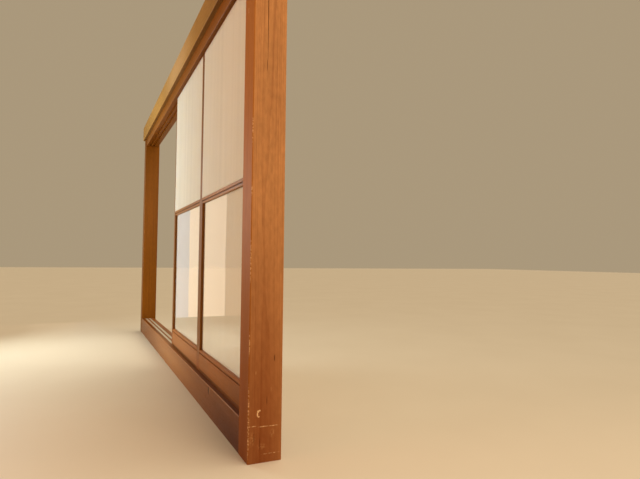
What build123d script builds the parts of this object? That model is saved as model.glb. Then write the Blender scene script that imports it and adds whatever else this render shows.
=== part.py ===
from build123d import *
import os

# A run of four sliding shoji screens in their timber frame, two tracks deep.
# X runs along the opening towards the corner post, Y from the corridor into the
# room, Z up from the corridor floor. The origin is the middle of the whole
# frame's footprint, on the floor. Sizes are in millimetres.

# Opening between the posts
clear_width = 3530.0
clear_height = 1757.0
step_height = 142.0

# Posts, with the drying split in the corner post
post_width = 120.0
post_depth = 132.0
post_arris = 3.0
split_width = 2.6
split_depth = 30.0
split_length = 522.0
split_closing = 90.0
split_from_front = 55.5

# Sill and head, flush with and set back from the posts' corridor face
sill_thickness = 45.0
head_thickness = 72.0
head_setback = 6.0
front_margin = 29.5
back_margin = 36.0
groove_width = 21.0
rib_width = 12.0
sill_groove_depth = 3.0
head_groove_depth = 15.0
track_arris = 1.5
tape_thickness = 0.8
tape_edge_gap = 0.5
sill_joint_from_corner = 522.0
sill_joint_width = 2.0
sill_joint_depth = 3.0

# Stub tenons of sill and head in the posts
beam_tenon_length = 15.0
beam_tenon_height = 22.0
beam_tenon_margin = 20.0
tenon_clearance = 0.2

# Trim beam across the posts, above the head
trim_height = 135.0
trim_projection = 17.0
trim_seat = 40.0
trim_arris = 2.0

# Riser under the sill and the blocks behind it
riser_thickness = 24.0
riser_setback = 1.0
block_count = 5
block_width = 90.0
block_depth = 70.0

# Screens
screen_count_across = 4
screen_thickness = 30.0
stile_width = 36.0
stile_arris = 0.8
screen_tongue = 20.0
sill_gap = 2.0
head_gap = 2.0
head_engagement = 12.0
top_rail_height = 28.0
bottom_rail_height = 113.0
mid_rail_bottom = 911.0
mid_rail_height = 42.0
mid_rail_depth = 15.0
rail_tenon_length = 24.0
rail_tenon_thickness = 12.0
rail_tenon_margin = 5.0
bottom_tenon_margin = 20.0
mid_tenon_thickness = 6.0
mid_tenon_front = 3.0
mid_tenon_low = 17.0

# Bead run on the rails beside the glass, set off by a quirk
bead_setback = 0.8
bottom_bead_height = 14.0
bottom_bead_fall = 1.5
mid_bead_height = 9.0
quirk_height = 7.0
quirk_depth = 5.0

# Glass in the lower half
glass_thickness = 3.0
glass_recess = 9.0
glass_side_play = 0.2
glass_bite = 5.5
glass_groove_depth = 6.0
glass_top_groove = 8.0
glass_top_play = 2.0

# Lattice and paper in the upper half
lattice_columns = 4
lattice_rows = 3
bar_width = 7.5
bar_back = 12.0
bar_stub = 5.0
bar_stub_step = 1.2
paper_thickness = 0.5
paper_rebate = 0.6
paper_overlap = 13.0
paper_below_head = 3.0
paper_edge_gap = 0.4

# Lift screen behind the glass
lift_thickness = 10.5
lift_side_play = 0.5
lift_groove_depth = 6.0
lift_edge_play = 1.0
lift_cover = 9.0
lift_top_play = 7.0
lift_stile_width = 22.0
lift_top_rail = 22.0
lift_bottom_rail = 30.0
lift_tenon_length = 14.0
lift_tenon_thickness = 5.0
lift_tenon_margin = 5.0
lift_bar_width = 6.5
lift_bar_depth = 8.0
lift_paper_margin = 3.0
finger_cove_radius = 5.0
finger_cove_length = 120.0

# Leaf springs that hold the lift screen where it is put
spring_length = 60.0
spring_width = 6.0
spring_thickness = 0.6
spring_pocket = 2.5
spring_play = 0.3
spring_share_up = 0.75

# Heights that follow
sill_top = step_height
sill_underside = sill_top - sill_thickness
head_underside = sill_top + clear_height
head_top = head_underside + head_thickness
frame_top = head_top + trim_height
tongue_bottom = sill_top - sill_groove_depth + tape_thickness
shoulder_bottom = sill_top + sill_gap
shoulder_top = head_underside - head_gap
tongue_top = head_underside + head_engagement
bottom_rail_top = shoulder_bottom + bottom_rail_height
mid_low = sill_top + mid_rail_bottom
mid_top = mid_low + mid_rail_height
top_rail_low = shoulder_top - top_rail_height
paper_low = mid_top - paper_overlap
paper_high = head_underside - paper_below_head

# Places along X and Y that follow
half_opening = clear_width / 2
overall_width = clear_width + 2 * post_width
screen_width = (clear_width + 2 * stile_width) / screen_count_across
post_front = (trim_projection - post_depth) / 2
track_pitch = groove_width + rib_width
track_depth = front_margin + 2 * groove_width + rib_width + back_margin
tongue_edge = (screen_thickness - screen_tongue) / 2
screen_front = post_front + front_margin - (screen_thickness - groove_width) / 2

# Places inside one screen, from its left edge and its corridor face
glass_front = glass_recess
glass_back = glass_recess + glass_thickness
lift_front = mid_rail_depth + lift_side_play
lift_back = lift_front + lift_thickness
lift_left = stile_width - lift_groove_depth + lift_edge_play
lift_width = screen_width - 2 * lift_left
lift_low = bottom_rail_top
lift_high = mid_low + lift_cover
lift_paper_back = lift_front + paper_rebate
lift_travel = top_rail_low - lift_top_play - lift_high
inner_left = stile_width
inner_right = screen_width - stile_width
bar_front = paper_rebate

screens = {
    "front_right": (half_opening - screen_width, screen_front),
    "front_left": (half_opening - 2 * screen_width, screen_front),
    "rear_right": (half_opening - screen_width, screen_front + track_pitch),
    "rear_left": (half_opening - 2 * screen_width, screen_front + track_pitch),
}


def block(x, y, z):
    """A box between two places on each axis."""
    size = [high - low for low, high in (x, y, z)]
    middle = [(low + high) / 2 for low, high in (x, y, z)]
    return Pos(*middle) * Box(*size)


def bar_along_x(points, start, end):
    """A section given as (Y, Z) points, run along X from start to end."""
    section = Plane.YZ * make_face(Polyline(*points, close=True))
    return Pos(start, 0, 0) * extrude(section, end - start, dir=(1, 0, 0))


def eased(solid, axis, arris):
    """The solid with the long edges along one axis chamfered."""
    return chamfer(solid.edges().filter_by(axis), arris)


def cut(solid, tools):
    """The solid with every tool cut from it."""
    for tool in tools:
        solid = solid - tool
    return solid


def inset(pair, amount):
    """A pair of places drawn in by an amount, or spread where it is negative."""
    return pair[0] + amount, pair[1] - amount


def export(shape, name):
    """One sub-part as its own file."""
    os.makedirs("parts", exist_ok=True)
    export_step(shape, f"parts/{name}.step")


# Frame

sill_y = (post_front, post_front + track_depth)
head_y = (post_front + head_setback, post_front + track_depth)
sill_z = (sill_underside, sill_top)
head_z = (head_underside, head_top)


def beam_tenon(side, y, z, clearance=0.0):
    """The stub tenon of the sill or head at one end, or its mortise."""
    reach = beam_tenon_length + clearance
    x = sorted((side * half_opening, side * (half_opening + reach)))
    middle = (z[0] + z[1]) / 2
    half = beam_tenon_height / 2
    return block(x, inset(y, beam_tenon_margin - clearance),
                 (middle - half - clearance, middle + half + clearance))


def groove_strips(edge_gap, z):
    """A strip along each of the two grooves, drawn in from the groove's sides."""
    first = post_front + front_margin
    return [block((-half_opening, half_opening), inset((y, y + groove_width), edge_gap), z)
            for y in (first, first + track_pitch)]


def track(y, z, groove_z):
    beam = eased(block((-half_opening, half_opening), y, z), Axis.X, track_arris)
    for side in (-1, 1):
        beam += beam_tenon(side, y, z)
    return cut(beam, groove_strips(0, groove_z))


def sill_track():
    joint_x = half_opening - sill_joint_from_corner
    joint = block((joint_x, joint_x + sill_joint_width),
                  (sill_y[0], sill_y[0] + sill_joint_depth), sill_z)
    return track(sill_y, sill_z, (sill_top - sill_groove_depth, sill_top)) - joint


def head_track():
    return track(head_y, head_z, (head_underside, head_underside + head_groove_depth))


def slide_tapes():
    low = sill_top - sill_groove_depth
    return Compound(groove_strips(tape_edge_gap, (low, low + tape_thickness)))


def post(side):
    """The post at one end of the opening, mortised for the sill and the head."""
    x = sorted((side * half_opening, side * (half_opening + post_width)))
    timber = eased(block(x, (post_front, post_front + post_depth), (0, frame_top)),
                   Axis.Z, post_arris)
    return cut(timber, [beam_tenon(side, y, z, tenon_clearance)
                        for y, z in ((sill_y, sill_z), (head_y, head_z))])


def drying_split():
    """The split in the corner post's outer face, closing at its lower end."""
    outer = half_opening + post_width
    y = post_front + split_from_front
    end = frame_top - split_length
    sides = [(y + half, z) for half, z in ((-split_width / 2, end + split_closing),
                                           (-split_width / 2, frame_top),
                                           (split_width / 2, frame_top),
                                           (split_width / 2, end + split_closing), (0, end))]
    opening = make_face(Polyline(*sides, close=True))
    return Pos(outer - split_depth, 0, 0) * extrude(Plane.YZ * opening, split_depth, dir=(1, 0, 0))


def trim_beam():
    """The beam across the posts, notched round them so that it sits on the head."""
    ends = (-overall_width / 2, overall_width / 2)
    face = eased(block(ends, (post_front - trim_projection, post_front), (head_top, frame_top)),
                 Axis.X, trim_arris)
    seat = block((-half_opening, half_opening), (post_front - trim_arris, post_front + trim_seat),
                 (head_top, frame_top))
    over_posts = [block(sorted((side * half_opening, side * overall_width / 2)),
                        (post_front, post_front + trim_seat), (head_top, frame_top))
                  for side in (-1, 1)]
    return cut(face + seat, over_posts)


def riser_board():
    front = post_front + riser_setback
    return block((-half_opening, half_opening), (front, front + riser_thickness),
                 (0, sill_underside))


def sill_blocks():
    middle_y = (post_front + riser_setback + riser_thickness + sill_y[1]) / 2
    pitch = clear_width / block_count
    places = [-half_opening + pitch * (i + 0.5) for i in range(block_count)]
    return Compound([block((x - block_width / 2, x + block_width / 2),
                           (middle_y - block_depth / 2, middle_y + block_depth / 2),
                           (0, sill_underside)) for x in places])


# One screen, from its left edge and its corridor face

def from_edge(side, near, far):
    """Places measured in from the screen's left (-1) or right (1) edge."""
    return (near, far) if side < 0 else (screen_width - far, screen_width - near)


def rail_tenon(side, y, z, length, clearance=0.0):
    """A rail's tenon in the stile at one side, or its mortise."""
    x = from_edge(side, stile_width - length - clearance, stile_width)
    return block(x, inset(y, -clearance), inset(z, -clearance))


top_tenon = ((tongue_edge + (screen_tongue - rail_tenon_thickness) / 2,
              tongue_edge + (screen_tongue + rail_tenon_thickness) / 2),
             inset((top_rail_low, shoulder_top), rail_tenon_margin))
bottom_tenon = (top_tenon[0], inset((shoulder_bottom, bottom_rail_top), bottom_tenon_margin))
mid_tenon = ((mid_tenon_front, mid_tenon_front + mid_tenon_thickness),
             (mid_low + mid_tenon_low, mid_top - rail_tenon_margin))
lattice_z = (mid_top, top_rail_low)
lattice_bar_y = (bar_front, bar_back)


def spaced(low, high, parts):
    """The places that divide a stretch into equal parts."""
    return [low + (high - low) * i / parts for i in range(1, parts)]


def thin(middle, width):
    return middle - width / 2, middle + width / 2


def bar_end(x, y, z, clearance=0.0):
    """A bar's stub end, stepped in on the two faces given by y and the thin axis."""
    return block(inset(x, -clearance), inset(y, bar_stub_step - clearance), inset(z, -clearance))


def lattice_bars(x, z, y, width, columns, rows, stub):
    """Upright and level bars, halved together, with stub ends in what holds them."""
    middle_y = (y[0] + y[1]) / 2
    uprights = spaced(inner_left, inner_right, columns)
    levels = spaced(*z, rows)
    stub_width = width - 2 * bar_stub_step
    bars = []
    for u in uprights:
        bar = block(thin(u, width), y, z)
        bar += bar_end(thin(u, stub_width), y, inset(z, -stub))
        bars.append(cut(bar, [block(thin(u, width), (y[0], middle_y), thin(level, width))
                              for level in levels]))
    for level in levels:
        bar = block(x, y, thin(level, width))
        bar += bar_end(inset(x, -stub), y, thin(level, stub_width))
        bars.append(cut(bar, [block(thin(u, width), (middle_y, y[1]), thin(level, width))
                              for u in uprights]))
    return Compound(bars)


def tongue_shoulders(x):
    """What is cut from both faces of a screen to leave its tongues."""
    faces = ((0, tongue_edge), (screen_thickness - tongue_edge, screen_thickness))
    ends = ((tongue_bottom, shoulder_bottom), (shoulder_top, tongue_top))
    return [block(x, y, z) for y in faces for z in ends]


def stile(side):
    inner = from_edge(side, stile_width - paper_overlap, stile_width)
    groove = from_edge(side, stile_width - glass_groove_depth, stile_width)
    lift_groove = from_edge(side, stile_width - lift_groove_depth, stile_width)
    stub = from_edge(side, stile_width - bar_stub, stile_width)
    body = eased(block(from_edge(side, 0, stile_width), (0, screen_thickness),
                       (tongue_bottom, tongue_top)), Axis.Z, stile_arris)
    cuts = tongue_shoulders(from_edge(side, 0, stile_width))
    cuts += [rail_tenon(side, *tenon, rail_tenon_length, tenon_clearance)
             for tenon in (top_tenon, bottom_tenon, mid_tenon)]
    cuts.append(block(inner, (0, paper_rebate), (paper_low, paper_high)))
    cuts.append(block(groove, inset((glass_front, glass_back), -glass_side_play),
                      (bottom_rail_top - glass_groove_depth, mid_low + glass_top_groove)))
    cuts.append(block(lift_groove, inset((lift_front, lift_back), -lift_side_play),
                      (bottom_rail_top, top_rail_low)))
    cuts += [bar_end(stub, lattice_bar_y, thin(level, bar_width - 2 * bar_stub_step), tenon_clearance)
             for level in spaced(*lattice_z, lattice_rows)]
    return cut(body, cuts)


def upright_mortises(z):
    """The mortises for the upright bars' ends, over the given heights."""
    return [bar_end(thin(u, bar_width - 2 * bar_stub_step), lattice_bar_y, z, tenon_clearance)
            for u in spaced(inner_left, inner_right, lattice_columns)]


def with_tenons(rail, tenon, length):
    for side in (-1, 1):
        rail += rail_tenon(side, *tenon, length)
    return rail


def top_rail():
    points = [(paper_rebate, top_rail_low), (paper_rebate, paper_high), (0, paper_high),
              (0, shoulder_top), (tongue_edge, shoulder_top), (tongue_edge, tongue_top),
              (screen_thickness - tongue_edge, tongue_top),
              (screen_thickness - tongue_edge, shoulder_top), (screen_thickness, shoulder_top),
              (screen_thickness, top_rail_low)]
    rail = with_tenons(bar_along_x(points, inner_left, inner_right), top_tenon, rail_tenon_length)
    return cut(rail, upright_mortises((top_rail_low, top_rail_low + bar_stub)))


def mid_rail():
    groove = inset((glass_front, glass_back), -glass_side_play)
    bead_top = mid_low + mid_bead_height
    points = [(bead_setback, mid_low), (bead_setback, bead_top), (quirk_depth, bead_top),
              (quirk_depth, bead_top + quirk_height), (0, bead_top + quirk_height),
              (0, paper_low), (paper_rebate, paper_low), (paper_rebate, mid_top),
              (mid_rail_depth, mid_top), (mid_rail_depth, mid_low), (groove[1], mid_low),
              (groove[1], mid_low + glass_top_groove), (groove[0], mid_low + glass_top_groove),
              (groove[0], mid_low)]
    rail = with_tenons(bar_along_x(points, inner_left, inner_right), mid_tenon, rail_tenon_length)
    return cut(rail, upright_mortises((mid_top - bar_stub, mid_top)))


def bottom_rail():
    """The deep rail under the glass, its bead's top sloped to shed dust."""
    groove = inset((glass_front, glass_back), -glass_side_play)
    groove_floor = bottom_rail_top - glass_groove_depth
    bead_foot = bottom_rail_top - bottom_bead_height
    points = [(0, shoulder_bottom), (0, bead_foot - quirk_height),
              (quirk_depth, bead_foot - quirk_height), (quirk_depth, bead_foot),
              (bead_setback, bead_foot), (bead_setback, bottom_rail_top - bottom_bead_fall),
              (groove[0], bottom_rail_top),
              (groove[0], groove_floor), (groove[1], groove_floor), (groove[1], bottom_rail_top),
              (screen_thickness, bottom_rail_top), (screen_thickness, shoulder_bottom),
              (screen_thickness - tongue_edge, shoulder_bottom),
              (screen_thickness - tongue_edge, tongue_bottom),
              (tongue_edge, tongue_bottom), (tongue_edge, shoulder_bottom)]
    return with_tenons(bar_along_x(points, inner_left, inner_right), bottom_tenon,
                       rail_tenon_length)


def lattice():
    return lattice_bars((inner_left, inner_right), lattice_z, lattice_bar_y, bar_width,
                        lattice_columns, lattice_rows, bar_stub)


def paper():
    across = inset((inner_left - paper_overlap, inner_right + paper_overlap), paper_edge_gap)
    return block(across, (paper_rebate - paper_thickness, paper_rebate),
                 inset((paper_low, paper_high), paper_edge_gap))


def glass():
    return block((inner_left - glass_bite, inner_right + glass_bite), (glass_front, glass_back),
                 (bottom_rail_top - glass_groove_depth, mid_low + glass_top_groove - glass_top_play))


# The lift screen of one screen

lift_right = lift_left + lift_width
lift_inner = (lift_left + lift_stile_width, lift_right - lift_stile_width)
lift_open_z = (lift_low + lift_bottom_rail, lift_high - lift_top_rail)
lift_tenon_y = thin((lift_paper_back + lift_back) / 2, lift_tenon_thickness)
lift_bar_y = (lift_paper_back, lift_paper_back + lift_bar_depth)
lift_paper_x = (lift_left + lift_paper_margin, lift_right - lift_paper_margin)
lift_paper_z = inset((lift_low, lift_high), lift_paper_margin)
spring_middle = lift_low + (lift_high - lift_low) * spring_share_up


def lift_tenon(side, z, clearance=0.0):
    near = lift_left + lift_stile_width
    x = from_edge(side, near - lift_tenon_length - clearance, near)
    return block(x, inset(lift_tenon_y, -clearance), inset(z, lift_tenon_margin - clearance))


lift_rail_z = ((lift_low, lift_open_z[0]), (lift_open_z[1], lift_high))
lift_paper_seat = block(lift_paper_x, (lift_front, lift_paper_back), lift_paper_z)


def lift_stiles():
    stiles = []
    for side in (-1, 1):
        near = lift_left + lift_stile_width
        body = block(from_edge(side, lift_left, near), (lift_front, lift_back),
                     (lift_low, lift_high))
        cuts = [lift_paper_seat]
        cuts += [lift_tenon(side, z, tenon_clearance) for z in lift_rail_z]
        cuts += [bar_end(from_edge(side, near - bar_stub, near), lift_bar_y,
                         thin(level, lift_bar_width - 2 * bar_stub_step), tenon_clearance)
                 for level in spaced(*lift_open_z, lattice_rows)]
        cuts.append(block(from_edge(side, lift_left, lift_left + spring_pocket),
                          thin((lift_front + lift_back) / 2, spring_width + 2 * tenon_clearance),
                          thin(spring_middle, spring_length + 2 * spring_play)))
        stiles.append(cut(body, cuts))
    return Compound(stiles)


def lift_rails():
    rails = []
    for z, stub_z in zip(lift_rail_z, ((lift_open_z[0] - bar_stub, lift_open_z[0]),
                                       (lift_open_z[1], lift_open_z[1] + bar_stub))):
        rail = block(lift_inner, (lift_front, lift_back), z)
        for side in (-1, 1):
            rail += lift_tenon(side, z)
        cuts = [bar_end(thin(u, lift_bar_width - 2 * bar_stub_step), lift_bar_y, stub_z,
                        tenon_clearance)
                for u in spaced(inner_left, inner_right, lattice_columns)]
        rails.append(cut(rail, [lift_paper_seat] + cuts))
    cove = Rot(0, 90, 0) * Cylinder(finger_cove_radius, finger_cove_length)
    rails[0] -= Pos(screen_width / 2, lift_back + finger_cove_radius / 2,
                    lift_low + lift_bottom_rail / 2) * cove
    return Compound(rails)


def lift_lattice():
    return lattice_bars(lift_inner, lift_open_z, lift_bar_y, lift_bar_width,
                        lattice_columns, lattice_rows, bar_stub)


def lift_paper():
    return block(inset(lift_paper_x, paper_edge_gap),
                 (lift_paper_back - paper_thickness, lift_paper_back),
                 inset(lift_paper_z, paper_edge_gap))


def lift_springs():
    """A bowed leaf in each edge, whose crown rubs on the stile's groove."""
    foot = lift_left + spring_pocket
    crown = stile_width - lift_groove_depth + spring_play
    low, high = thin(spring_middle, spring_length)
    outer = ThreePointArc((foot - spring_thickness, low), (crown, spring_middle),
                          (foot - spring_thickness, high))
    inner = ThreePointArc((foot, high), (crown + spring_thickness, spring_middle), (foot, low))
    outline = [outer, Line((foot - spring_thickness, high), (foot, high)), inner,
               Line((foot, low), (foot - spring_thickness, low))]
    leaf = extrude(Plane.XZ * make_face(outline), spring_width / 2, both=True)
    leaf = Pos(0, (lift_front + lift_back) / 2, 0) * leaf
    other = mirror(leaf, Plane.YZ.offset(screen_width / 2))
    return Compound([leaf, other])


frame_parts = {
    "sill_track": sill_track(),
    "head_track": head_track(),
    "corner_post": post(1) - drying_split(),
    "far_post": post(-1),
    "trim_beam": trim_beam(),
    "riser_board": riser_board(),
    "sill_blocks": sill_blocks(),
    "slide_tapes": slide_tapes(),
}
screen_parts = {
    "near_stile": stile(1),
    "far_stile": stile(-1),
    "top_rail": top_rail(),
    "mid_rail": mid_rail(),
    "bottom_rail": bottom_rail(),
    "lattice": lattice(),
    "paper": paper(),
    "glass": glass(),
    "lift_stiles": lift_stiles(),
    "lift_rails": lift_rails(),
    "lift_lattice": lift_lattice(),
    "lift_paper": lift_paper(),
    "lift_springs": lift_springs(),
}

for name, shape in frame_parts.items():
    export(shape, name)
for screen, (x, y) in screens.items():
    for name, shape in screen_parts.items():
        export(Pos(x, y, 0) * shape, f"{screen}_{name}")

slide_gap = clear_width - 2 * screen_width
print("screen width", screen_width, "slide gap", slide_gap, "lift travel", lift_travel)
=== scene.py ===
import math

import bpy
from mathutils import Matrix, Vector, noise


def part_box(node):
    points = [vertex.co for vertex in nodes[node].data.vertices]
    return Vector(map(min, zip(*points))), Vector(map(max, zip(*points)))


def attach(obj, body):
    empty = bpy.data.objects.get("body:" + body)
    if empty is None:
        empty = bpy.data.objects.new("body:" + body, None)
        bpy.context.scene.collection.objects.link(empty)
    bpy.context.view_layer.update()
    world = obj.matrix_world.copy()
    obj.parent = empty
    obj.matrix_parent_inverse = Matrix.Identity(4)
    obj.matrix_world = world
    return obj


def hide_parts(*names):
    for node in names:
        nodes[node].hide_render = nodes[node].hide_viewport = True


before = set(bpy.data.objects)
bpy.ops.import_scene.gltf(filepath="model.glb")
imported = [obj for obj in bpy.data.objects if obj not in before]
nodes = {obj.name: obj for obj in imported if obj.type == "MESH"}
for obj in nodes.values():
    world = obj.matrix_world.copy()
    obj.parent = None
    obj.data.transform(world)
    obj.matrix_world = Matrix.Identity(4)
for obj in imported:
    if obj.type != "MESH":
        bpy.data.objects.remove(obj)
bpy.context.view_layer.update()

MM = 0.001
screens = ("front_right", "front_left", "rear_right", "rear_left")

# The camera, fitted to the frame's edges
picture_width = 640
focal_pixels = 512.74
camera_place = Vector((3.7141, -0.6229, 0.7478))
camera_yaw = math.radians(24.856)
camera_pitch = math.radians(2.321)
camera_roll = math.radians(0.624)

# Blender's noise seldom leaves this range
noise_low, noise_high = 0.3, 0.7
# A Mix node's sockets for colours
share_in, first_in, second_in, mixed_out = 0, 6, 7, 2


# Helpers for materials

def linear(hex_code):
    """An sRGB hex colour as linear RGBA."""
    parts = [int(hex_code[i:i + 2], 16) / 255 for i in (1, 3, 5)]
    return [p / 12.92 if p <= 0.04045 else ((p + 0.055) / 1.055) ** 2.4 for p in parts] + [1.0]


def add(tree, kind, inputs=(), out=0, stops=(), **settings):
    """Adds one node with its settings, and returns the output that is asked for. Inputs are
    given in order or by name, each a value or another node's output."""
    made = tree.nodes.new("ShaderNode" + kind)
    for name, value in settings.items():
        setattr(made, name, value)
    for place, colour in stops:
        made.color_ramp.elements.new(place).color = colour
    if stops:
        made.color_ramp.elements.remove(made.color_ramp.elements[0])
        made.color_ramp.elements.remove(made.color_ramp.elements[-1])
    for name, value in (inputs.items() if isinstance(inputs, dict) else enumerate(inputs)):
        if isinstance(value, bpy.types.NodeSocket):
            tree.links.new(value, made.inputs[name])
        elif value is not None:
            made.inputs[name].default_value = value
    return made.outputs[out] if made.outputs else made


def new_material(name):
    made = bpy.data.materials.new(name)
    made.use_nodes = True
    made.node_tree.nodes.clear()
    return made, made.node_tree


def streaks(tree, axes, sizes, detail=2.0, start=0.0):
    """Noise whose patches have these sizes in mm along the three axes."""
    scaled = add(tree, "VectorMath", [axes, [1 / (s * MM) for s in sizes], (start,) * 3],
                 operation="MULTIPLY_ADD")
    return add(tree, "TexNoise", {"Vector": scaled, "Scale": 1.0, "Detail": detail})


def blot(tree, place, centre, half, soft):
    """A soft-edged mark, 1 inside an ellipsoid of these half sizes in mm and 0 outside."""
    away = add(tree, "VectorMath", [place, [c * MM for c in centre]], operation="SUBTRACT")
    away = add(tree, "VectorMath", [away, [1 / (h * MM) for h in half]], operation="MULTIPLY")
    far = add(tree, "VectorMath", [away], out="Value", operation="LENGTH")
    return add(tree, "MapRange", [far, 1.0, 1.0 - soft, 0.0, 1.0], interpolation_type="SMOOTHSTEP")


def blot_strength(tree, place, blots):
    """How strongly the blots of one mark cover each place. A mark is wear, painted shade or painted
    light.
    """
    grit, bare_from, bare_whole = (6, 6, 6), 0.45, 0.6
    strongest = None
    for centre, half, soft, ragged in blots:
        mark = blot(tree, place, centre, half, soft)
        if ragged:
            broken = streaks(tree, place, grit, 2.0, ragged)
            broken = add(tree, "MapRange", [broken, bare_from, bare_whole, 0.0, 1.0])
            mark = add(tree, "Math", [mark, broken], operation="MULTIPLY")
        if strongest:
            mark = add(tree, "Math", [strongest, mark], operation="MAXIMUM")
        strongest = mark
    return strongest


# Timber

def grain_axes(tree, place, along, mirrored, bars):
    """Place as (across, across, along the grain). A lattice has both: its level bars, which
    start at a height and repeat at a pitch, have their grain along X, its uprights along Z."""
    x, y, z = add(tree, "SeparateXYZ", [place]).node.outputs
    if mirrored:
        x = add(tree, "Math", [x], operation="ABSOLUTE")
    if bars:
        first, pitch, width = bars
        half_bar = width / 2 + 0.1
        turns = add(tree, "Math", [z, 1 / (pitch * MM), -first / pitch], operation="MULTIPLY_ADD")
        whole = add(tree, "Math", [turns], operation="ROUND")
        level = add(tree, "Math", [turns, whole, half_bar / pitch], operation="COMPARE")
        order = (add(tree, "Mix", [level, None, x, z]), y, add(tree, "Mix", [level, None, z, x]))
    else:
        order = {"X": (y, z, x), "Z": (x, y, z)}[along]
    return add(tree, "CombineXYZ", order)


# Across, across and along the grain, in mm
ring_wander = (80, 80, 1300)
# Fibres are about 0.05 mm in the real wood, and are drawn 0.9 mm wide to show at all
fibre_size = (0.9, 0.9, 50)
# Runs of slow and fast years, which show as broad bands from a few steps away
year_bands = (16, 16, 1100)
board_tone = (200, 200, 800)
darkest_tone, lightest_tone = 0.86, 1.1
# Handling and sun leave patches a few centimetres long
handled_patches = (14, 14, 35)
# A year's growth darkens slowly into its late wood, and then ends sharply
ring_profile = [(place, (dark, dark, dark, 1)) for place, dark in
                ((0.0, 0), (0.5, 0.12), (0.88, 1), (1.0, 0))]
weakest_ring = 0.35
fibre_share = 0.5
grain_relief = 0.15


def timber(name, early, late, along, heart, ring, drift=6.0, contrast=0.55, broad=0.25,
           rough=(0.3, 0.45), varnish=0.3, mottle=0.06, mirrored=False, bars=None, marks=()):
    """Softwood, sawn and planed. heart is the middle of its growth rings across the grain and
    ring their spacing, in mm, and drift is how far they wander along the piece. marks gives
    each colour of wear, painted shade or painted light its share and its blots."""
    made, tree = new_material(name)
    place = add(tree, "TexCoord", out="Object")
    axes = grain_axes(tree, place, along, mirrored, bars)
    flat = add(tree, "VectorMath", [axes, (1, 1, 0)], operation="MULTIPLY")
    radius = add(tree, "VectorMath", [flat, (heart[0] * MM, heart[1] * MM, 0)], out="Value",
                 operation="DISTANCE")
    wander = streaks(tree, axes, ring_wander, 2.0, 3.7)
    radius = add(tree, "Math", [wander, drift * MM * 2, radius], operation="MULTIPLY_ADD")
    rings = add(tree, "Math", [radius, ring * MM], operation="DIVIDE")
    within = add(tree, "Math", [rings], operation="FRACT")
    which = add(tree, "Math", [rings], operation="FLOOR")
    strength = add(tree, "TexWhiteNoise", {"W": which}, out="Value", noise_dimensions="1D")
    line = add(tree, "ValToRGB", [within], stops=ring_profile)
    strength = add(tree, "MapRange", [strength, 0.0, 1.0, weakest_ring, 1.0])
    line = add(tree, "Math", [line, strength], operation="MULTIPLY")
    fibre = streaks(tree, axes, fibre_size, 3.0)
    bands = streaks(tree, axes, year_bands, 3.0, 9.1)
    tone = streaks(tree, axes, board_tone, 2.0, 5.3)
    shade = add(tree, "Math", [line, contrast], operation="MULTIPLY")
    shade = add(tree, "Math", [fibre, fibre_share, shade], operation="MULTIPLY_ADD")
    shade = add(tree, "Math", [bands, broad * 2, shade], operation="MULTIPLY_ADD")
    shade = add(tree, "Math", [shade, fibre_share / 2 + broad, 0.0], operation="SUBTRACT",
                use_clamp=True)
    colour = add(tree, "Mix", {share_in: shade, first_in: linear(early),
                               second_in: linear(late)}, out=mixed_out, data_type="RGBA")
    level = add(tree, "MapRange", [tone, noise_low, noise_high, darkest_tone, lightest_tone])
    patches = streaks(tree, axes, handled_patches, 3.0, 7.7)
    patchy = add(tree, "MapRange", [patches, noise_low, noise_high, 1 - mottle, 1 + mottle])
    level = add(tree, "Math", [level, patchy], operation="MULTIPLY")
    colour = add(tree, "VectorMath", [colour, level], operation="MULTIPLY")
    # Each mark, whether wear, painted shade or painted light, is mixed over the wood
    for mark_colour, share, blots in marks:
        mark_weight = add(tree, "Math", [blot_strength(tree, place, blots), share], operation="MULTIPLY")
        colour = add(tree, "Mix", {share_in: mark_weight, first_in: colour, second_in: linear(mark_colour)},
                     out=mixed_out, data_type="RGBA")
    roughness = add(tree, "MapRange", [fibre, noise_low, noise_high, *rough])
    height = add(tree, "Math", [line, 0.35, fibre], operation="MULTIPLY_ADD")
    normal = add(tree, "Bump", {"Strength": 0.5, "Distance": grain_relief * MM,
                                "Height": height})
    # Old planed wood has little sheen of its own, so what shines is the coat
    wood = add(tree, "BsdfPrincipled", {"Base Color": colour, "Roughness": roughness,
                                        "Normal": normal, "Coat Weight": varnish,
                                        "Coat Roughness": 0.22, "IOR": 1.45,
                                        "Specular IOR Level": 0.05})
    add(tree, "OutputMaterial", {"Surface": wood})
    return made


# The frame's and screens' wear, painted shade and painted light. Each mark has its place and half
# sizes in mm, how soft its edge is, and the start of the pattern that breaks it up, or 0 for a whole
# one
# The dark colour serves real stains and painted shade alike
fresh_wood, bare_wood, dark_shade_and_stain = "#E4B684", "#D6A269", "#4A220A"
whole_length = 3000
# A hooked chip, scratches across the foot and a worn front edge
post_chips = [
    ((1885, -19, 188), (4, 4.5, 6), 0.4, 0.0),
    ((1885, -21.5, 178), (4, 3.2, 10), 0.4, 0.0),
    ((1885, -13, 191), (4, 4.0, 4), 0.4, 0.0),
    ((1885, -17, 169), (4, 4.5, 3.2), 0.4, 0.0),
    ((1885, -42, 136), (3, 20, 2.0), 0.5, 2.1),
    ((1885, 2, 132), (3, 28, 2.2), 0.5, 2.9),
    ((1885, 44, 131), (3, 26, 1.8), 0.5, 3.3),
    ((1885, 31, 31), (3, 42, 1.6), 0.5, 4.3),
    ((1884, -57, 150), (5, 5, 170), 0.5, 6.2),
    ((1884, -57, 436), (3.6, 3.6, 60), 0.5, 8.4),
    ((1884, -57, 742), (3.6, 3.6, 110), 0.5, 2.6),
    ((1884, -57, 1010), (3.4, 3.4, 34), 0.5, 4.4),
    ((1884, -57, 1236), (3.6, 3.6, 80), 0.5, 7.1),
    ((1809, -57.5, 1718), (7, 3, 15), 0.6, 3.9),
]
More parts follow.
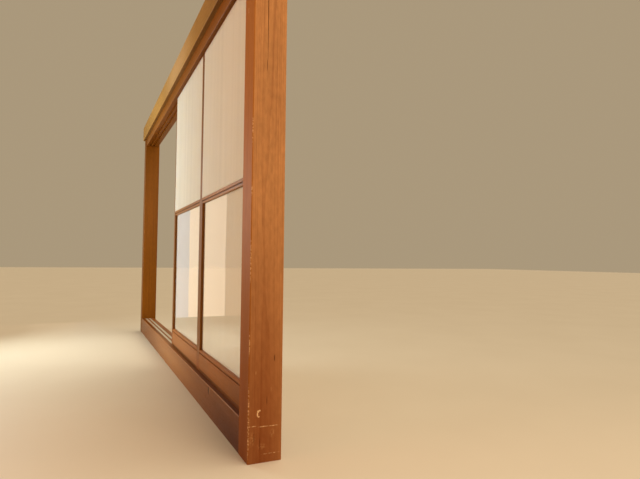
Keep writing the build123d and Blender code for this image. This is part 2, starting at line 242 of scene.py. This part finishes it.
# Faint scuffs and dents near the foot
post_scuffs = [
    ((1885, -42, 88), (3, 18, 38), 0.9, 2.7),
    ((1885, -4, 60), (3, 24, 15), 0.9, 4.1),
    ((1885, 38, 104), (3, 14, 22), 0.9, 6.6),
    ((1885, -30, 330), (3, 3, 9), 0.5, 0.0),
    ((1885, 30, 265), (3, 1.5, 12), 0.5, 0.0),
]
# The drying split's shadow and its hair-thin end, and short checks near the foot
post_cracks = [
    ((1885, -3.5, 1487), (4, 1.6, 30), 0.5, 0.0),
    ((1885, -1.5, 1600), (4, 1.4, 130), 0.5, 0.0),
    ((1885, 42, 381), (4, 2.4, 16), 0.5, 0.0),
    ((1885, -34, 96), (4, 1.5, 26), 0.6, 0.0),
    ((1885, -12, 70), (4, 1.5, 30), 0.6, 0.0),
    ((1885, 14, 226), (4, 2.0, 22), 0.7, 0.0),
]
# The post darkens towards the floor, and painted shade makes its corridor face a deeper orange
post_darker_towards_floor = [((1825, 0, 0), (200, 200, 1250), 1.0, 0.0)]
post_front_shade = [((1825, -57.5, 1100), (300, 6, 2500), 0.5, 0.0)]
# Painted shade on the head's underside and under the trim's overhang
head_underside_shade = [((0, 0, 1899), (whole_length, 200, 1.8), 0.4, 0.0)]
under_trim_shade = [((0, -66, 1970.5), (whole_length, 40, 2.2), 0.3, 0.0)]
# Painted light on the trim's middle and painted shade towards the corner post
trim_painted_shade = [((1300, -70, 2040), (900, 30, 200), 1.0, 0.0)]
trim_painted_light = [((200, -70, 2040), (700, 30, 200), 1.0, 0.0)]
# The sill's top front edge is worn bare, with painted shade and dark reflection on the ledge behind
# it. Its butt joint has dirt in it and a chip beside it, and the riser has a painted sheen in its
# middle and painted shade by the corner post
sill_ledge_shade = [((0, -45, 142), (whole_length, 14, 1.0), 0.4, 0.0)]
sill_joint = [((1243, -57.5, 119), (11, 3, 25), 0.5, 0.0)]
sill_edge = [((1262, -57.5, 124), (9, 3, 22), 0.7, 1.7),
             ((1540, -57.5, 141.8), (430, 2.6, 2.2), 0.6, 0.0),
             ((0, -57.5, 142), (whole_length, 3.5, 3.5), 0.5, 5.1)]
riser_painted_shade = [((1765, -57, 30), (850, 40, 190), 1.0, 0.0)]
riser_painted_sheen = [((0, -57, 70), (1300, 40, 200), 1.0, 0.0)]
riser_scuffs = [((150, -57.5, 70), (800, 3, 60), 0.8, 9.3)]
# Painted shade in the quirks beside the beads. The bottom rail is darker along its foot, with
# painted shade at its end by the corner post and painted light away from it
quirk_shade = [((0, -30, 1065.5), (whole_length, 12, 3.4), 0.3, 0.0),
              ((0, -30, 239.5), (whole_length, 12, 3.4), 0.3, 0.0)]
rail_foot_dark_and_shade = [((0, -30, 147), (whole_length, 30, 12), 0.3, 0.0),
             ((1900, -30, 190), (900, 30, 160), 1.0, 0.0)]
rail_painted_light = [((350, -30, 200), (800, 30, 160), 1.0, 0.0)]
stile_foot = [((0, -30, 144), (whole_length, 40, 170), 1.0, 0.0)]

# Cedar, planed and waxed by hand: a matt orange-brown with broad soft bands, blotched by hands,
# that turns dark and red towards the floor
post_wood = timber("cedar_post_planed_and_waxed", "#C28652", "#8E522C", "Z", (1825, 8.5), 5.5,
                   drift=14, contrast=0.3, broad=0.45, rough=(0.45, 0.6), varnish=0.0,
                   mottle=0.1, mirrored=True,
                   marks=[("#B06A1C", 0.6, post_front_shade), ("#742C00", 0.92, post_darker_towards_floor),
                          (bare_wood, 0.28, post_scuffs), (fresh_wood, 1.0, post_chips),
                          (dark_shade_and_stain, 0.75, post_cracks)])
# The same cedar as a painted-shade copy for the far post: browner and deeper, and a little smoother
far_post_shaded_wood = timber("cedar_far_post_painted_shade", "#8C5415", "#66370A", "Z",
                       (1825, 8.5), 5.5, drift=14, contrast=0.32, broad=0.35, rough=(0.36, 0.5),
                       varnish=0.05, mirrored=True)
# Pine, planed and thinly varnished: a dark tea brown with fine level lines and a dull sheen
head_wood = timber("pine_head_planed_and_varnished", "#9A5E1C", "#66390C", "X", (190, 1700), 4.5,
                   varnish=0.02, marks=[(dark_shade_and_stain, 0.55, head_underside_shade)])
# Pine, planed and oiled: a pale honey board with no shine, the lightest piece of the frame
trim_wood = timber("pine_trim_planed_and_oiled", "#C29450", "#A2783C", "X", (210, 1760), 6.0,
                   drift=9, varnish=0.0, rough=(0.45, 0.6),
                   marks=[("#6E4A1C", 0.55, trim_painted_shade), ("#E0BC8C", 0.55, trim_painted_light),
                          (dark_shade_and_stain, 0.6, under_trim_shade)])
# Pine, planed and varnished: reddish brown, smooth from feet and cloths, with a soft gloss
sill_wood = timber("pine_sill_planed_and_varnished", "#8E521E", "#602F0C", "X", (160, -60), 5.0,
                   drift=9, rough=(0.25, 0.4), varnish=0.04,
                   marks=[(dark_shade_and_stain, 0.6, sill_ledge_shade), ("#2E1205", 0.95, sill_joint),
                          (bare_wood, 0.75, sill_edge), ("#501C00", 0.85, riser_painted_shade),
                          ("#C8864A", 0.62, riser_painted_sheen), (bare_wood, 0.35, riser_scuffs)])
# Cypress, planed very fine: narrow straight rings and a silky brown, redder at the foot
stile_wood = timber("cypress_stile_planed_fine", "#906030", "#6E4218", "Z", (560, 330), 2.6,
                    drift=3, varnish=0.02, marks=[("#A8561E", 0.75, stile_foot)])
# The same cypress, lighter on the rails, with painted shade in the quirks
rail_wood = timber("cypress_rail_planed_fine", "#AC7434", "#86521E", "X", (300, 620), 2.6,
                   drift=3, varnish=0.02, marks=[(dark_shade_and_stain, 0.7, quirk_shade)])
# Cypress, planed and varnished: the deep bottom rail is ruddy, with painted light away from the
# corner post and painted shade beside it
foot_wood = timber("cypress_foot_rail_planed_and_varnished", "#B06C2E", "#824816", "X", (260, 90),
                   3.2, drift=5, varnish=0.04,
                   marks=[("#CC8A50", 0.5, rail_painted_light), (dark_shade_and_stain, 0.7, quirk_shade),
                          (dark_shade_and_stain, 0.6, rail_foot_dark_and_shade)])
# Spruce bars, planed and left bare: pale, dry and even, with the grain along each bar. Each
# lattice gives its lowest level bar's height, the bars' pitch and their width
lattice_wood, lift_lattice_wood = (
    timber(f"spruce_{name}_planed_bare", "#C8A06C", "#AE8350", "Z", (560, 330), 2.2,
           drift=2, varnish=0.0, rough=(0.5, 0.65), bars=bars)
    for name, bars in (("lattice", (1095, 258, 7.5)), ("lift_lattice", (287, 251, 6.5))))
# Pine, rough from the saw: dull and pale, with no sheen at all
block_wood = timber("pine_block_sawn_rough", "#C6A473", "#A07C4C", "X", (60, -120), 6.0,
                    varnish=0.0, rough=(0.75, 0.9))


# Paper, glass and small parts

def shoji_paper():
    """Mulberry-fibre paper, machine made and pasted on damp, so that it dries taut. The eye
    gets a soft warm white with faint long fibres and shallow folds that run upwards."""
    made, tree = new_material("mulberry_paper_pasted_taut")
    place = add(tree, "TexCoord", out="Object")
    # The fibres are 0.03 mm thick and up to 15 mm long, and are drawn 0.4 mm wide
    fibres_per_metre, fibre_edge, bend = 90.0, 0.035, 0.02
    bent = add(tree, "TexNoise", {"Vector": place, "Scale": 60.0, "Detail": 2.0}, out="Color")
    bent = add(tree, "VectorMath", [bent, (bend,) * 3, place], operation="MULTIPLY_ADD")
    cells = add(tree, "TexVoronoi", {"Vector": bent, "Scale": fibres_per_metre}, out="Distance",
                feature="DISTANCE_TO_EDGE")
    thread = add(tree, "MapRange", [cells, 0.0, fibre_edge, 1.0, 0.0])
    cloudy = add(tree, "TexNoise", {"Vector": place, "Scale": 7.0, "Detail": 4.0})
    shade = add(tree, "Math", [cloudy, 0.7, 0.15], operation="MULTIPLY_ADD", use_clamp=True)
    colour = add(tree, "Mix", {share_in: shade, first_in: linear("#E6DCC8"),
                               second_in: linear("#EEE6D6")}, out=mixed_out, data_type="RGBA")
    # Light comes unevenly through the sheet in upright bands about a hand wide
    bands = streaks(tree, place, (55, 200, 2500), 2.0, 4.9)
    bands = add(tree, "MapRange", [bands, noise_low, noise_high, 0.955, 1.03])
    colour = add(tree, "VectorMath", [colour, bands], operation="MULTIPLY")
    faint = add(tree, "Math", [thread, 0.45], operation="MULTIPLY")
    colour = add(tree, "Mix", {share_in: faint, first_in: colour,
                               second_in: linear("#F2ECE0")}, out=mixed_out, data_type="RGBA")
    # The taut sheet draws into long shallow folds, 40 to 90 mm wide
    fold_depth = 0.9
    folds = streaks(tree, place, (70, 70, 600), 1.0)
    height = add(tree, "Math", [thread, 0.04, folds], operation="MULTIPLY_ADD")
    normal = add(tree, "Bump", {"Strength": 0.6, "Distance": fold_depth * MM, "Height": height})
    paper = add(tree, "BsdfPrincipled", {"Base Color": colour, "Roughness": 0.9,
                                         "Normal": normal, "IOR": 1.45,
                                         "Subsurface Weight": 0.6,
                                         "Subsurface Radius": (1.0, 0.85, 0.65),
                                         "Subsurface Scale": 0.5 * MM})
    add(tree, "OutputMaterial", {"Surface": paper})
    return made


def window_glass():
    """Drawn sheet glass, a little uneven. The eye gets sharp but slightly swimming reflections
    over the white paper behind."""
    made, tree = new_material("drawn_sheet_glass")
    tint = linear("#FDFBF8")
    wave_depth = 0.12
    place = add(tree, "TexCoord", out="Object")
    swim = streaks(tree, place, (120, 120, 300), 1.0)
    normal = add(tree, "Bump", {"Strength": 0.4, "Distance": wave_depth * MM, "Height": swim})
    pane = add(tree, "BsdfPrincipled", {"Base Color": tint, "Roughness": 0.0, "Normal": normal,
                                        "IOR": 1.52, "Transmission Weight": 1.0})
    # A pane this thin lets lamplight straight through to the paper behind it
    path = add(tree, "LightPath", out="Is Shadow Ray").node.outputs
    passing = add(tree, "Math", [path["Is Shadow Ray"], path["Is Diffuse Ray"]],
                  operation="MAXIMUM")
    clear = add(tree, "BsdfTransparent", [tint])
    add(tree, "OutputMaterial", {"Surface": add(tree, "MixShader", [passing, pane, clear])})
    return made


def slide_tape():
    """Hard PVC strip, extruded and pressed into the groove. The eye gets an ivory line with
    lengthwise scuffs, polished where the screens run."""
    made, tree = new_material("pvc_slide_strip_extruded")
    place = add(tree, "TexCoord", out="Object")
    # Scuffs are about 0.1 mm wide, and are drawn 1.2 mm wide to show
    scuffs = streaks(tree, place, (300, 1.2, 1.2), 3.0)
    colour = add(tree, "Mix", {share_in: scuffs, first_in: linear("#A0937B"),
                               second_in: linear("#CFC5AF")}, out=mixed_out, data_type="RGBA")
    roughness = add(tree, "MapRange", [scuffs, noise_low, noise_high, 0.45, 0.22])
    strip = add(tree, "BsdfPrincipled", {"Base Color": colour, "Roughness": roughness,
                                         "IOR": 1.53})
    add(tree, "OutputMaterial", {"Surface": strip})
    return made


def leaf_spring():
    """Cold-rolled spring steel. The eye gets a grey metal with the rolling's fine lines."""
    made, tree = new_material("cold_rolled_spring_steel")
    place = add(tree, "TexCoord", out="Object")
    # Rolling lines are about 0.02 mm apart, and are drawn 0.4 mm apart to show
    lines = streaks(tree, place, (0.4, 0.4, 20), 2.0)
    colour = add(tree, "Mix", {share_in: lines, first_in: linear("#7E7C78"),
                               second_in: linear("#B4B2AD")}, out=mixed_out, data_type="RGBA")
    roughness = add(tree, "MapRange", [lines, noise_low, noise_high, 0.28, 0.42])
    steel = add(tree, "BsdfPrincipled", {"Base Color": colour, "Metallic": 1.0,
                                         "Roughness": roughness})
    add(tree, "OutputMaterial", {"Surface": steel})
    return made


paper_finish = shoji_paper()
frame_finish = {"corner_post": post_wood, "far_post": far_post_shaded_wood, "head_track": head_wood,
                "trim_beam": trim_wood, "sill_track": sill_wood, "riser_board": sill_wood,
                "sill_blocks": block_wood, "slide_tapes": slide_tape()}
screen_finish = {"near_stile": stile_wood, "far_stile": stile_wood, "top_rail": rail_wood,
                 "mid_rail": rail_wood, "bottom_rail": foot_wood, "lattice": lattice_wood,
                 "glass": window_glass(), "lift_stiles": stile_wood, "lift_rails": rail_wood,
                 "lift_lattice": lift_lattice_wood, "lift_springs": leaf_spring()}


def give(node, finish):
    node.data.materials.clear()
    node.data.materials.append(finish)


for name, finish in frame_finish.items():
    give(nodes[name], finish)
for screen in screens:
    for piece, finish in screen_finish.items():
        give(nodes[f"{screen}_{piece}"], finish)


# Paper sheets, sizes in mm

sheet_thickness = 0.12
paste_depth = 0.02
upper_belly = 0.3
lift_belly = 0.25
sheet_steps_x, sheet_steps_z = 96, 84
# Ripples to the metre, which are long and upright
ripples_x, ripples_z = 14, 5
columns_across = 4
rows_up = 3
# How much of a lift screen's lower and upper rail its paper covers
lift_rail_below = 27
lift_rail_above = 19


def divided(low, high, parts):
    """The places that divide a stretch into equal parts, with both its ends."""
    return [low + (high - low) * i / parts for i in range(parts + 1)]


def slack(value, fixed):
    """0 on the bars, 1 in the middle between two."""
    for near, far in zip(fixed, fixed[1:]):
        if near <= value <= far:
            return math.sin(math.pi * (value - near) / (far - near))
    return 0.0


def pasted_sheet(name, node, body, columns, rows, belly):
    """A paper sheet that is pasted on its bars and bellies a hair towards the corridor in the
    lattice's openings. columns and rows are the middles of the bars in X and Z."""
    low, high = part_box(node)
    back = high.y - paste_depth * MM
    xs = divided(low.x, high.x, sheet_steps_x)
    zs = divided(low.z, high.z, sheet_steps_z)
    verts, faces = [], []
    for side in (0, 1):
        for z in zs:
            for x in xs:
                loose = slack(x, columns) * slack(z, rows)
                ripple = 0.5 + 0.5 * noise.noise(Vector((x * ripples_x, z * ripples_z, 3.1)))
                y = back - belly * MM * loose * ripple - side * sheet_thickness * MM
                verts.append((x, y, z))
    wide = len(xs)
    layer = wide * len(zs)
    for j in range(sheet_steps_z):
        for i in range(sheet_steps_x):
            a = j * wide + i
            faces.append((a, a + wide, a + wide + 1, a + 1))
            faces.append((layer + a, layer + a + 1, layer + a + wide + 1, layer + a + wide))
    rim = ([i for i in range(wide)]
           + [j * wide + sheet_steps_x for j in range(1, sheet_steps_z + 1)]
           + [sheet_steps_z * wide + i for i in range(sheet_steps_x - 1, -1, -1)]
           + [j * wide for j in range(sheet_steps_z - 1, 0, -1)])
    for a, b in zip(rim, rim[1:] + rim[:1]):
        faces.append((a, b, layer + b, layer + a))
    mesh = bpy.data.meshes.new(name)
    mesh.from_pydata(verts, [], faces)
    mesh.validate()
    for face in mesh.polygons:
        face.use_smooth = True
    sheet = bpy.data.objects.new(name, mesh)
    bpy.context.scene.collection.objects.link(sheet)
    sheet.data.materials.append(paper_finish)
    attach(sheet, body)
    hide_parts(node)


for screen in screens:
    columns = divided(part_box(f"{screen}_far_stile")[1].x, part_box(f"{screen}_near_stile")[0].x,
                      columns_across)
    rows = divided(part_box(f"{screen}_mid_rail")[1].z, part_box(f"{screen}_top_rail")[0].z, rows_up)
    pasted_sheet(f"{screen}_paper_sheet", f"{screen}_paper", f"{screen}_screen", columns, rows,
                 upper_belly)
    low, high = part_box(f"{screen}_lift_paper")
    rows = divided(low.z + lift_rail_below * MM, high.z - lift_rail_above * MM, rows_up)
    pasted_sheet(f"{screen}_lift_paper_sheet", f"{screen}_lift_paper", f"{screen}_lift_screen",
                 columns, rows, lift_belly)


# Floor, lights and camera

def studio_floor():
    """A broad floor in pale satin paint, rolled on. The eye gets an even warm white with soft
    shadows and hardly any shine."""
    made, tree = new_material("studio_floor_satin_paint")
    place = add(tree, "TexCoord", out="Object")
    cloudy = add(tree, "TexNoise", {"Vector": place, "Scale": 1.5, "Detail": 2.0})
    colour = add(tree, "Mix", {share_in: cloudy, first_in: linear("#DACDB6"),
                               second_in: linear("#E2D6C0")}, out=mixed_out, data_type="RGBA")
    paint = add(tree, "BsdfPrincipled", {"Base Color": colour, "Roughness": 0.6,
                                         "Specular IOR Level": 0.25})
    add(tree, "OutputMaterial", {"Surface": paint})
    half = 40.0
    mesh = bpy.data.meshes.new("studio_floor")
    mesh.from_pydata([(-half, -half, 0), (half, -half, 0), (half, half, 0), (-half, half, 0)], [],
                     [(0, 1, 2, 3)])
    ground = bpy.data.objects.new("studio_floor", mesh)
    ground.data.materials.append(made)
    bpy.context.scene.collection.objects.link(ground)


def place_lamp(name, lamp, colour, facing):
    """Puts a lamp in the scene, looking along a direction."""
    lamp.color = linear(colour)[:3]
    holder = bpy.data.objects.new(name, lamp)
    holder.rotation_euler = facing.to_track_quat("-Z", "Y").to_euler()
    bpy.context.scene.collection.objects.link(holder)
    return holder


def soft_light(name, place, aim, size, power, colour, mirrored_only=False):
    """A soft box that faces the point it is aimed at, or a card seen only in reflections."""
    lamp = bpy.data.lights.new(name, "AREA")
    lamp.shape = "RECTANGLE"
    lamp.size, lamp.size_y = size
    lamp.energy = power
    holder = place_lamp(name, lamp, colour, Vector(aim) - Vector(place))
    holder.location = place
    holder.visible_diffuse = not mirrored_only


def broad_sun(name, power, spread, colour, facing):
    """Daylight from one side, spread over so many degrees that its shadows are soft."""
    lamp = bpy.data.lights.new(name, "SUN")
    lamp.energy = power
    lamp.angle = math.radians(spread)
    place_lamp(name, lamp, colour, Vector(facing))


studio_floor()
soft_light("key_box", (-1.1, -1.6, 1.3), (-0.1, 0.0, 0.95), (1.2, 1.1), 29.5, "#F2FFFF")
soft_light("warm_box", (1.9, -1.9, 1.9), (1.5, 0.0, 1.3), (1.2, 1.0), 6.7, "#FF7C2C")
soft_light("near_box", (4.7, 0.9, 1.95), (1.88, 0.0, 1.2), (1.6, 1.6), 38.0, "#FFE9CE")
# Cards beyond the far post, which the panes mirror as cool, warm and dim bands. Each goes from
# one distance to another in front of the frame
cards_x, cards_middle_z, cards_height = -2.9, 0.96, 1.9
for name, near, far, power, colour in (("cool_card", 0.44, 0.66, 0.55, "#D2E2FF"),
                                       ("warm_card", 0.66, 1.13, 2.0, "#FFE4C8"),
                                       ("dim_card", 1.13, 2.93, 2.2, "#FFC49C")):
    middle = -(near + far) / 2
    soft_light(name, (cards_x, middle, cards_middle_z), (0.0, middle, cards_middle_z),
               (far - near, cards_height), power, colour, mirrored_only=True)
# A broad skylight over the room side, which keeps the floor even as far as one can see
broad_sun("skylight", 1.4, 60, "#FFF0DC", (-0.15, -0.75, -1.5))

world = bpy.data.worlds.new("studio_air")
world.use_nodes = True
sky = world.node_tree
sky.nodes.clear()
add(sky, "OutputWorld", {"Surface": add(sky, "Background", [linear("#E8D0AA"), 0.5])})
bpy.context.scene.world = world
bpy.context.scene.view_settings.view_transform = "Standard"

ahead = Vector((-math.cos(camera_yaw) * math.cos(camera_pitch),
                math.sin(camera_yaw) * math.cos(camera_pitch), math.sin(camera_pitch)))
right = ahead.cross(Vector((0, 0, 1))).normalized()
up = right.cross(ahead)
rolled_right = math.cos(camera_roll) * right + math.sin(camera_roll) * up
rolled_up = math.cos(camera_roll) * up - math.sin(camera_roll) * right
lens = bpy.data.cameras.new("camera")
lens.sensor_width = 36.0
lens.lens = focal_pixels / picture_width * lens.sensor_width
lens.clip_start = 0.05
camera = bpy.data.objects.new("camera", lens)
turn = Matrix((rolled_right, rolled_up, -ahead)).transposed().to_4x4()
camera.matrix_world = Matrix.Translation(camera_place) @ turn
bpy.context.scene.collection.objects.link(camera)
bpy.context.scene.camera = camera
